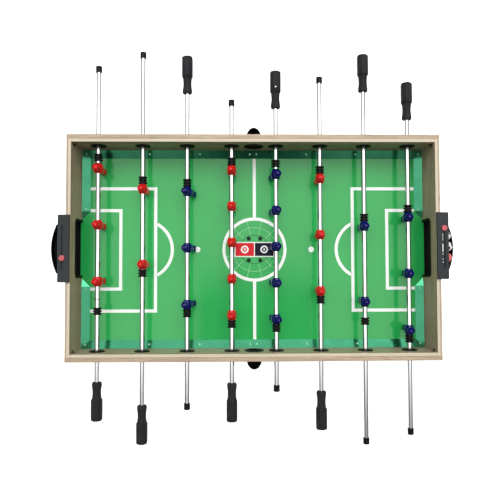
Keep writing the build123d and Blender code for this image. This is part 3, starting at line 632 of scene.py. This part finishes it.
def man_mesh(facing):
    """One skin over the man's parts, smoothed, with the rod's bore through it."""
    bm = bmesh.new()
    man_parts(bm)
    bmesh.ops.recalc_face_normals(bm, faces=bm.faces)
    bmesh.ops.scale(bm, vec=(MM, MM, MM), verts=bm.verts)
    if facing < 0:
        bmesh.ops.rotate(bm, matrix=Matrix.Rotation(math.pi, 3, "Z"), verts=bm.verts)
    work = bpy.data.objects.new("man_work", to_mesh("man_work", bm))
    scene.collection.objects.link(work)
    remesh = work.modifiers.new("skin", "REMESH")
    remesh.mode = "VOXEL"
    remesh.voxel_size = 0.62 * MM
    smooth = work.modifiers.new("smooth", "SMOOTH")
    smooth.factor = 0.5
    smooth.iterations = 3
    bore_bm = bmesh.new()
    reach = 0.03
    lathe(bore_bm, [(-reach, 0), (-reach, 8.05 * MM), (reach, 8.05 * MM), (reach, 0)], along_y(0, 0, 0), 64)
    bore = bpy.data.objects.new("man_bore", to_mesh("man_bore", bore_bm))
    scene.collection.objects.link(bore)
    thin = work.modifiers.new("thin", "DECIMATE")
    thin.ratio = 0.30
    cut = work.modifiers.new("bore", "BOOLEAN")
    cut.operation = "DIFFERENCE"
    cut.solver = "EXACT"
    cut.object = bore
    graph = bpy.context.evaluated_depsgraph_get()
    mesh = bpy.data.meshes.new_from_object(work.evaluated_get(graph))
    bpy.data.objects.remove(work)
    bpy.data.objects.remove(bore)
    mesh.name = "man_right" if facing > 0 else "man_left"
    mesh.materials.clear()
    mesh.polygons.foreach_set("use_smooth", [True] * len(mesh.polygons))
    mesh.set_sharp_from_angle(angle=math.radians(50))
    return mesh


def pin_mesh():
    """A sprung roll pin across the man's chest: a tube with chamfered ends."""
    bm = bmesh.new()
    half, outer, inner = 15.4 * MM, 1.5 * MM, 0.8 * MM
    profile = [(-half, inner), (-half, outer * 0.8), (-half + 0.4 * MM, outer), (half - 0.4 * MM, outer),
               (half, outer * 0.8), (half, inner), (-half, inner)]
    lathe(bm, profile, Matrix.Rotation(math.pi / 2, 4, "Y"), 24)
    return to_mesh("roll_pin", bm)


# How many degrees each rod's men swing their feet to the right of straight down
LEANS = {3: 13.0, 4: 2.0, 5: -8.0, 7: 3.5, 8: 7.0}


def add_men():
    shared = {1: man_mesh(1), -1: man_mesh(-1)}
    meshes = {}
    pin = pin_mesh()
    for rod in RODS:
        team = TEAMS[rod - 1]
        facing = 1 if team == "red" else -1
        material, slot = MEN[team]
        if team not in meshes:
            meshes[team] = shared[facing]
        men = [box for box in solid_boxes(f"rod{rod}_men") if (box[1] - box[0]).z > 0.05]
        for count, (low, high) in enumerate(men, 1):
            place = Matrix.Translation(((low.x + high.x) / 2, (low.y + high.y) / 2, ROD_Z))
            place.translation.x = sum(v.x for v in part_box(f"rod{rod}_bar")) / 2
            place = place @ Matrix.Rotation(math.radians(-LEANS.get(rod, 0.0)), 4, "Y")
            man = piece(f"man_{rod}_{count}", meshes[team], [material], f"rod{rod}", place)
            piece(f"man_pin_{rod}_{count}", pin, [steel], f"rod{rod}", place)
            if count == 1:
                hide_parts(f"rod{rod}_men")


# ---- Grips, caps, bumpers and washers
GRIP_LENGTH = 128.0
GRIP_STATIONS = (
    # distance from the inner end, half width, how eight-sided
    (0.0, 9.6, 0.0), (0.3, 13.2, 0.0), (1.6, 15.0, 0.0), (4.5, 16.1, 0.0), (10.0, 16.4, 0.0),
    (15.0, 15.9, 0.1), (22.0, 14.7, 0.2), (32.0, 14.0, 0.2), (42.0, 14.2, 0.3), (50.0, 14.9, 0.4),
    (54.5, 15.5, 0.5), (56.0, 15.8, 0.5), (56.8, 17.0, 0.8), (58.4, 17.9, 1.0), (62.0, 18.1, 1.0),
    (90.0, 18.2, 1.0), (120.0, 18.1, 1.0), (124.5, 17.8, 1.0), (126.6, 16.9, 0.9), (127.7, 15.4, 0.7),
    (128.0, 13.6, 0.4), (128.0, 8.2, 0.0), (126.8, 7.4, 0.0),
)


def grip_mesh():
    """A rubber grip from its inner end at 0 along local Z, with a round vent in its outer end."""
    bm = bmesh.new()
    sides, per_side = 8, 10
    segments = sides * per_side
    rings = []
    for distance, half, flat in GRIP_STATIONS:
        ring = []
        for i in range(segments):
            angle = 2 * math.pi * i / segments
            step = 2 * math.pi / sides
            off = (angle + step / 2) % step - step / 2
            facet = half / math.cos(off) * 0.985
            round_off = 0.22 * half * (1 / math.cos(step / 2) - 1)
            facet = min(facet, half / math.cos(step / 2) - round_off)
            radius = half * (1 - flat) + facet * flat
            ring.append(bm.verts.new((radius * math.cos(angle) * MM, radius * math.sin(angle) * MM, distance * MM)))
        rings.append(ring)
    for a, b in zip(rings, rings[1:]):
        bridge(bm, a, b)
    bm.faces.new(rings[-1])
    socket = []
    for distance in (0.0, 100.0):
        socket.append([bm.verts.new((8.0 * MM * math.cos(2 * math.pi * i / segments),
                                     8.0 * MM * math.sin(2 * math.pi * i / segments),
                                     distance * MM)) for i in range(segments)])
    bridge(bm, rings[0], socket[0])
    bridge(bm, socket[0], socket[1])
    bm.faces.new(socket[1])
    return to_mesh("grip", bm, 28)


def grip_screw_mesh():
    """A pan head, its seat at 0 and its head up local Z."""
    bm = bmesh.new()
    head = [(-1.2, 0), (-1.2, 3.3), (0.2, 3.3), (1.0, 2.7), (1.4, 1.6), (1.5, 0.0)]
    lathe(bm, [(d * MM, r * MM) for d, r in head], Matrix(), 32)
    return to_mesh("grip_screw", bm)


def cap_mesh():
    """A rubber end cap from its inner end at 0 along local Z."""
    bm = bmesh.new()
    outline = [(0, 8.05), (0, 10.4), (1.2, 10.8), (2.4, 10.4), (17.5, 10.3), (18.3, 10.8), (20.5, 10.5), (22, 8.4), (22, 0)]
    lathe(bm, [(d * MM, r * MM) for d, r in rounded(outline, 1.0)], Matrix(), 40)
    inner = [(0, 8.05), (17.8, 8.05), (17.8, 0)]
    lathe(bm, [(d * MM, r * MM) for d, r in inner], Matrix(), 40)
    bmesh.ops.remove_doubles(bm, verts=bm.verts, dist=1e-6)
    return to_mesh("end_cap", bm)


def bumper_mesh():
    """Three soft ribs and two deep grooves, 24 mm long, centred on local Z."""
    bm = bmesh.new()
    outline = []
    for start in (-12.0, -2.8, 6.4):
        outline += [(start, 10.6), (start, 13.4), (start + 1.1, 14.5), (start + 4.5, 14.5), (start + 5.6, 13.4),
                    (start + 5.6, 10.6)]
    closed = [(-12.0, 8.0)] + outline + [(12.0, 8.0)]
    rounded_outline = rounded(closed, 0.9, 3)
    lathe(bm, [(d * MM, r * MM) for d, r in rounded_outline + [closed[0]]], Matrix(), 56)
    return to_mesh("bumper", bm, 40)


def washer_mesh():
    bm = bmesh.new()
    outline = [(-0.6, 8.0), (-0.6, 12.6), (-0.2, 13.0), (0.2, 13.0), (0.6, 12.6), (0.6, 8.0), (-0.6, 8.0)]
    lathe(bm, [(d * MM, r * MM) for d, r in outline], Matrix(), 48)
    return to_mesh("washer", bm)


def add_rod_furniture():
    grip, screw, cap, bumper, washer = grip_mesh(), grip_screw_mesh(), cap_mesh(), bumper_mesh(), washer_mesh()
    screw_turns = {1: 200, 2: 150, 3: 235, 4: 170, 5: 0, 6: 120, 7: 205, 8: -72}
    for rod in RODS:
        body, slider = f"rod{rod}", f"rod{rod}_bumper_set"
        x = sum(v.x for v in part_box(f"rod{rod}_bar")) / 2
        low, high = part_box(f"rod{rod}_handle")
        side = 1 if low.y > 0 else -1
        start = low.y if side > 0 else high.y
        place = along_y(x, start, ROD_Z, side)
        obj = piece(f"grip_{rod}", grip, [rubber_grip], body, place)
        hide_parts(f"rod{rod}_handle")
        spot = Matrix.Rotation(math.radians(screw_turns[rod]), 4, "Y") @ Matrix.Translation((0, 0, 17.1 * MM))
        place = Matrix.Translation((x, start + side * 71 * MM, ROD_Z)) @ spot
        piece(f"grip_screw_{rod}", screw, [steel], body, place)
        low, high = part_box(f"rod{rod}_end_cap")
        start = high.y if side > 0 else low.y
        obj = piece(f"end_cap_{rod}", cap, [rubber], body, along_y(x, start, ROD_Z, -side))
        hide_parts(f"rod{rod}_end_cap")
        for count, (low, high) in enumerate(solid_boxes(f"rod{rod}_bumpers"), 1):
            middle = (low + high) / 2
            thin = (high - low).y < 0.01
            name = f"washer_{rod}_{count}" if thin else f"bumper_{rod}_{count}"
            place = along_y(x, middle.y, ROD_Z)
            obj = piece(name, washer if thin else bumper, [rubber], slider, place)
            if count == 1:
                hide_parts(f"rod{rod}_bumpers")


# ---- Bearings
def bearing_mesh():
    """A flanged bush on local Z, its flange's back at 0 and its barrel towards +Z."""
    bm = bmesh.new()
    flange = [(-4.5, 8.0), (-4.5, 11.2), (-3.4, 12.6), (-3.2, 21.0), (-2.6, 24.6), (-1.6, 25.8), (0, 26.0),
              (0, 14.9), (30.0, 14.9), (30.4, 14.5), (30.4, 8.0)]
    lathe(bm, [(d * MM, r * MM) for d, r in flange + [flange[0]]], Matrix(), 64)
    return to_mesh("bearing", bm, 30)


def bearing_screw_mesh():
    bm = bmesh.new()
    head = [(0.4, 0), (0.4, 2.6), (-0.6, 2.5), (-1.1, 1.6), (-1.2, 0)]
    lathe(bm, [(d * MM, r * MM) for d, r in head], Matrix(), 20)
    return to_mesh("bearing_screw", bm)


def nut_mesh(thickness):
    """A notched ring nut on local Z from 0."""
    bm = bmesh.new()
    count = 72
    rings = []
    t = thickness * MM
    for z, cut in ((0, 0.7), (0.7 * MM, 0), (t - 0.7 * MM, 0), (t, 0.7)):
        ring = []
        for i in range(count):
            angle = 2 * math.pi * i / count
            notch = 1.4 if i % 9 in (0, 1, 2) else 0.0
            radius = (21.6 - notch - cut) * MM
            ring.append(bm.verts.new((radius * math.cos(angle), radius * math.sin(angle), z)))
        rings.append(ring)
    for z in (t, 0):
        rings.append([bm.verts.new((15.0 * MM * math.cos(2 * math.pi * i / count),
                                    15.0 * MM * math.sin(2 * math.pi * i / count), z)) for i in range(count)])
    for a, b in zip(rings, rings[1:] + rings[:1]):
        bridge(bm, a, b)
    return to_mesh("ring_nut", bm, 40)


def add_bearings():
    low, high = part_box("rod_bearings")
    thickness = (high.y - CABINET_HIGH.y) / MM - 0.5
    bush, screw, nut = bearing_mesh(), bearing_screw_mesh(), nut_mesh(thickness)
    for rod in RODS:
        x = sum(v.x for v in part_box(f"rod{rod}_bar")) / 2
        for side, word in ((-1, "front"), (1, "back")):
            place = along_y(x, side * INNER_Y, ROD_Z, side)
            obj = piece(f"bearing_{rod}_{word}", bush, [black_plastic], "cabinet", place)
            if rod == 1 and side < 0:
                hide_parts("rod_bearings")
            for number in range(3):
                angle = math.radians(90 + 120 * number)
                offset = Matrix.Translation((19 * MM * math.cos(angle), 19 * MM * math.sin(angle), -3.2 * MM))
                name = f"bearing_screw_{rod}_{word}_{number + 1}"
                piece(name, screw, [black_steel], "cabinet", place @ offset)
            place = along_y(x, side * CABINET_HIGH.y, ROD_Z, side)
            piece(f"bearing_nut_{rod}_{word}", nut, [black_plastic], "cabinet", place)


# ---- The field's print
PRINT_X, PRINT_Y = 0.004, -0.003
INK = 0.00018
LINE = 0.011
BIG_BOX = (0.347, 0.2145)
SMALL_BOX = (0.469, 0.1375)
CIRCLE = 0.113
SPOT_X = 0.200
ARC_RADIUS = 0.1075
ARC_APEX = 0.283
FIELD_END_X = 0.5705
FIELD_END_Y = 0.318


def open_box(bm, end, x, y, z0, z1):
    """Three sides of a penalty or goal area, as one outline."""
    half = LINE / 2
    far = end * FIELD_END_X
    near, inside = end * (x - half) + PRINT_X, end * (x + half) + PRINT_X
    up, down = y + half, y - half
    points = [(far, up + PRINT_Y), (near, up + PRINT_Y), (near, -up + PRINT_Y), (far, -up + PRINT_Y),
              (far, -down + PRINT_Y), (inside, -down + PRINT_Y), (inside, down + PRINT_Y), (far, down + PRINT_Y)]
    prism(bm, points, z0, z1)


def add_print():
    z0, z1 = FIELD_Z + 0.00002, FIELD_Z + INK
    centre = (PRINT_X, PRINT_Y)
    bm = bmesh.new()
    for end in (-1, 1):
        open_box(bm, end, *BIG_BOX, z0, z1)
        open_box(bm, end, *SMALL_BOX, z0, z1)
        disc(bm, (end * SPOT_X + PRINT_X, PRINT_Y), 0.010, z0, z1)
        middle = end * (ARC_APEX + ARC_RADIUS)
        face = BIG_BOX[0] - LINE / 2
        reach = math.acos((abs(middle) - face) / (ARC_RADIUS - LINE / 2))
        toward = math.pi if end > 0 else 0.0
        ring_sector(bm, (middle + PRINT_X, PRINT_Y), ARC_RADIUS - LINE, ARC_RADIUS, toward - reach, toward + reach,
                    z0, z1, 48)
    for side in (-1, 1):
        x0, x1 = PRINT_X - LINE / 2, PRINT_X + LINE / 2
        y0, y1 = side * CIRCLE * 0.999 + PRINT_Y, side * FIELD_END_Y
        prism(bm, [(x0, y0), (x1, y0), (x1, y1), (x0, y1)], z0, z1)
    ring_sector(bm, centre, CIRCLE - LINE, CIRCLE, 0, 2 * math.pi, z0, z1, 96)
    piece("print_lines", to_mesh("print_lines", bm), [ink_white], "cabinet")

    bm = bmesh.new()
    thin = 0.0011
    web_r = (0.052, 0.078, CIRCLE - LINE)
    ring_sector(bm, centre, web_r[1] - thin, web_r[1], 0, 2 * math.pi, z0, z1, 72)
    for spoke in range(12):
        angle = math.radians(30 * spoke + 15)
        across = Vector((-math.sin(angle), math.cos(angle))) * thin / 2
        along = Vector((math.cos(angle), math.sin(angle)))
        for r0, r1 in ((web_r[0], web_r[1] - thin), (web_r[1], web_r[2])):
            a, b = Vector(centre) + along * r0, Vector(centre) + along * r1
            prism(bm, [(a - across)[:], (b - across)[:], (b + across)[:], (a + across)[:]], z0, z1)
    piece("print_web", to_mesh("print_web", bm), [ink_pale], "cabinet")

    bm = bmesh.new()
    ring_sector(bm, centre, 0.0498, 0.0514, 0, 2 * math.pi, z0, z1, 72)
    for x in (-0.020, 0.020):
        for y in (-0.038, 0.038):
            disc(bm, (PRINT_X + x, PRINT_Y + y), 0.0085, z0, z1, 5, 0, math.radians(90))
    piece("print_ball", to_mesh("print_ball", bm), [ink_dark], "cabinet")

    bm = bmesh.new()
    half_x, half_y, border = 0.070, 0.0262, 0.0032
    top = z1 + INK
    x, y = centre
    prism(bm, [(x - half_x, y - half_y), (x + half_x, y - half_y), (x + half_x, y + half_y), (x - half_x, y + half_y)],
          z1, top)
    for end, material in ((-1, 1), (1, 2)):
        x0, x1 = x + end * border / 2, x + end * (half_x - border)
        y0, y1 = y - half_y + border, y + half_y - border
        prism(bm, [(x0, y0), (x1, y0), (x1, y1), (x0, y1)], top, top + INK, material)
        ring_sector(bm, ((x0 + x1) / 2, y), 0.0085, 0.0135, 0, 2 * math.pi, top + INK, top + 2 * INK, 48)
        disc(bm, ((x0 + x1) / 2, y), 0.0035, top + INK, top + 2 * INK, 32)
    piece("print_plaque", to_mesh("print_plaque", bm), [ink_white, ink_red, ink_navy], "cabinet")


# ---- Balls
def turned_ball(bm, angles):
    for axis, angle in zip("XYZ", angles):
        bmesh.ops.rotate(bm, matrix=Matrix.Rotation(angle, 3, axis), verts=bm.verts)


def football_mesh(radius, angles):
    """A ball of twelve dark five-sided and twenty white six-sided panels."""
    golden = (1 + math.sqrt(5)) / 2
    corners = []
    for a in (-1, 1):
        for b in (-golden, golden):
            corners += [Vector((0, a, b)), Vector((a, b, 0)), Vector((b, 0, a))]
    corners = [c.normalized() for c in corners]
    bm = bmesh.new()
    bmesh.ops.create_icosphere(bm, subdivisions=5, radius=radius)
    edge_cos = math.cos(math.radians(20.9))
    for face in bm.faces:
        centre = face.calc_center_median().normalized()
        nearest = max(corners, key=centre.dot)
        face.material_index = 1 if centre.dot(nearest) > edge_cos else 0
    turned_ball(bm, angles)
    return to_mesh("football", bm)


def plain_ball_mesh(radius):
    bm = bmesh.new()
    bmesh.ops.create_icosphere(bm, subdivisions=5, radius=radius)
    return to_mesh("plain_ball", bm)


def add_balls():
    boxes = solid_boxes("balls")
    radius = (boxes[0][1] - boxes[0][0]).z / 2
    turns = ((0, 0, 0), (0.5, 0.9, 0.3), (1.4, 0.2, 2.0))
    for count, ((low, high), angles) in enumerate(zip(boxes, turns), 1):
        place = Matrix.Translation((low + high) / 2)
        red = count == 1
        mesh = plain_ball_mesh(radius) if red else football_mesh(radius, angles)
        mats = [ball_red] if red else [ball_white, ball_black]
        obj = piece(f"ball_{count}", mesh, mats, "balls", place)
        if red:
            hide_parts("balls")


# ---- Score plates
def add_score_marks():
    """Raised lips along each plate's slot, and a few small white dashes along the right plate's slot, painted
    highlights where its edge catches light.
    """
    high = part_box("score_plates")[1]
    z0, z1 = high.z - 0.0002, high.z + 0.0003
    for end, word in ((-1, "left"), (1, "right")):
        slot_x = sum(v.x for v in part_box(f"score_slider_{word}")) / 2
        bm = bmesh.new()
        for side in (-1, 1):
            x = slot_x + side * 0.0072
            prism(bm, [(x - 0.0004, -0.088), (x + 0.0004, -0.088), (x + 0.0004, 0.088), (x - 0.0004, 0.088)], z0, z1)
        if end < 0:
            prism(bm, [(slot_x - 0.013, 0.092), (slot_x + 0.013, 0.092), (slot_x + 0.013, 0.0928),
                       (slot_x - 0.013, 0.0928)], z0, z1)
        piece(f"score_lips_{word}", to_mesh("score_lips", bm), [charcoal], "cabinet")
    # Painted highlights: white dashes along the right plate's slot edge.
    bm = bmesh.new()
    x = slot_x - 0.0052
    for y0, y1, half in ((0.020, 0.044, 0.0005), (-0.017, 0.009, 0.0013), (-0.026, -0.022, 0.0010),
                         (-0.043, -0.039, 0.0008), (-0.053, -0.049, 0.0008)):
        prism(bm, [(x - half, y0), (x + half, y0), (x + half, y1), (x - half, y1)], z0, z1)
    piece("painted_slot_glints", to_mesh("painted_slot_glints", bm), [painted_glint_white], "cabinet")


# ---- Levelling feet
def leveler_mesh():
    """A pad with a soft rim, a hex nut and a threaded stud, from the floor up local Z."""
    bm = bmesh.new()
    pad = [(0.0, 0), (0.0, 22.5), (0.8, 24.4), (2.2, 25.0), (5.0, 24.8), (7.2, 23.0), (9.0, 16.0), (10.0, 11.5), (13.0, 10.4),
           (13.0, 0)]
    lathe(bm, [(d * MM, r * MM) for d, r in pad], Matrix(), 56, 0)
    hexagon = [(13.0, 0), (13.0, 10.2), (13.8, 11.0), (19.2, 11.0), (20.0, 10.2), (20.0, 0)]
    lathe(bm, [(d * MM, r * MM) for d, r in hexagon], Matrix(), 6, 1)
    thread = [(20.0, 0)]
    z = 20.0
    while z < 61.0:
        thread += [(z, 4.3), (z + 0.5, 4.95), (z + 0.9, 4.95), (z + 1.4, 4.3)]
        z += 1.5
    thread += [(62.0, 3.9), (62.0, 0)]
    lathe(bm, [(d * MM, r * MM) for d, r in thread], Matrix(), 24, 1)
    return to_mesh("leveler", bm, 30)


def add_levelers():
    mesh = leveler_mesh()
    for front in ("front", "back"):
        for left in ("left", "right"):
            node = f"leveler_{front}_{left}"
            low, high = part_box(node)
            place = Matrix.Translation(((low.x + high.x) / 2, (low.y + high.y) / 2, low.z))
            obj = piece(f"foot_{front}_{left}", mesh, [nylon, steel], node, place)
            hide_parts(node)


# ---- Small things inside the cabinet
def add_corner_brackets():
    """A small black angle bracket high in each inner corner."""
    for end in (-1, 1):
        for side in (-1, 1):
            bm = bmesh.new()
            x, y = end * INNER_X, side * INNER_Y
            z0, z1 = RIM_Z - 0.040, RIM_Z - 0.024
            for low, high in (
                ((x - end * 0.010, y - side * 0.0015), (x, y)),
                ((x - end * 0.0015, y - side * 0.010), (x, y)),
            ):
                a = [min(u, v) for u, v in zip(low, high)] + [z0]
                b = [max(u, v) for u, v in zip(low, high)] + [z1]
                bevelled_box(bm, a, b, 0.0005)
            name = f"corner_bracket_{'left' if end < 0 else 'right'}_{'front' if side < 0 else 'back'}"
            piece(name, to_mesh("corner_bracket", bm), [black_steel], "cabinet")


# ---- The CAD pieces that keep their shape
def dress(node, *materials):
    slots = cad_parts[node].data.materials
    slots.clear()
    for mat in materials:
        slots.append(mat)


def dress_frame():
    dress("side_panels", oak_x)
    dress("end_panels", oak_y)
    dress("playfield", green)
    dress("bottom_panel", hardboard)
    dress("edge_ramps", ramp_clear)
    dress("ramp_screws", green_paint)
    dress("goal_frames", black_plastic)
    dress("ball_return_cups", black_plastic)
    dress("ball_entries", black_plastic)
    dress("score_plates", charcoal)
    dress("score_slider_left", marker_red)
    dress("score_slider_right", marker_red)
    dress("legs", oak_z)
    dress("leg_bolts", black_steel)
    for rod in RODS:
        dress(f"rod{rod}_bar", chrome)


# ---- The studio
ROOM_LIGHT = 0.03
WALL_LIGHT = 0.40
CEILING_LIGHT = 2.25


def area_light(name, place, target, size, power, colour=(1, 1, 1)):
    data = bpy.data.lights.new(name, "AREA")
    data.shape = "RECTANGLE"
    data.size, data.size_y = size
    data.energy = power
    data.color = colour
    light = bpy.data.objects.new(name, data)
    scene.collection.objects.link(light)
    light.location = place
    light.rotation_euler = (Vector(target) - Vector(place)).to_track_quat("-Z", "Y").to_euler()


def add_studio():
    bm = bmesh.new()
    size = 9.0
    prism(bm, [(-size, -size), (size, -size), (size, size), (-size, size)], -0.02, 0.0)
    floor = bpy.data.objects.new("floor", to_mesh("floor", bm))
    scene.collection.objects.link(floor)
    floor.data.materials.append(floor_white())

    add_sky()
    area_light("key", (0.4, 2.3, 4.4), (0, 0, 0.8), (3.2, 1.6), 60)


def add_sky():
    """A wide ceiling light over grey walls: it reaches far to both ends and to the back, and has a
    dark gap in its near half."""
    world = bpy.data.worlds.new("studio")
    scene.world = world
    world.use_nodes = True
    nodes, links = world.node_tree.nodes, world.node_tree.links
    where = nodes.new("ShaderNodeTexCoord")
    split = nodes.new("ShaderNodeSeparateXYZ")
    links.new(where.outputs["Generated"], split.inputs[0])
    up = math_node(nodes, links, "MAXIMUM", split.outputs[2], 0.01)
    back = math_node(nodes, links, "DIVIDE", split.outputs[1], up)
    high = range_node(nodes, links, split.outputs[2], 0.0, 1.0, 0.52, 0.66)
    behind = range_node(nodes, links, back, 0.20, 1.0, -0.32, -0.14)
    lit = math_node(nodes, links, "MULTIPLY", high, behind)
    across = math_node(nodes, links, "DIVIDE", split.outputs[0], up)
    off_gap = math_node(nodes, links, "ABSOLUTE", math_node(nodes, links, "SUBTRACT", across, 0.03))
    gap = range_node(nodes, links, off_gap, 0.95, 0.0, 0.095, 0.125)
    near = range_node(nodes, links, back, 1.0, 0.0, -0.06, 0.03)
    dark = math_node(nodes, links, "MULTIPLY", gap, near)
    lit = math_node(nodes, links, "MULTIPLY", lit, math_node(nodes, links, "SUBTRACT", 1.0, dark))
    ceiling = range_node(nodes, links, lit, ROOM_LIGHT, CEILING_LIGHT)
    wall = range_node(nodes, links, split.outputs[2], WALL_LIGHT, 0.0, 0.12, 0.22)
    level = math_node(nodes, links, "ADD", ceiling, wall)
    links.new(level, nodes["Background"].inputs["Strength"])
    nodes["Background"].inputs["Color"].default_value = (1.0, 0.995, 0.985, 1)


add_camera()
dress_frame()
add_men()
add_rod_furniture()
add_bearings()
add_print()
add_balls()
add_score_marks()
add_levelers()
add_corner_brackets()
add_studio()
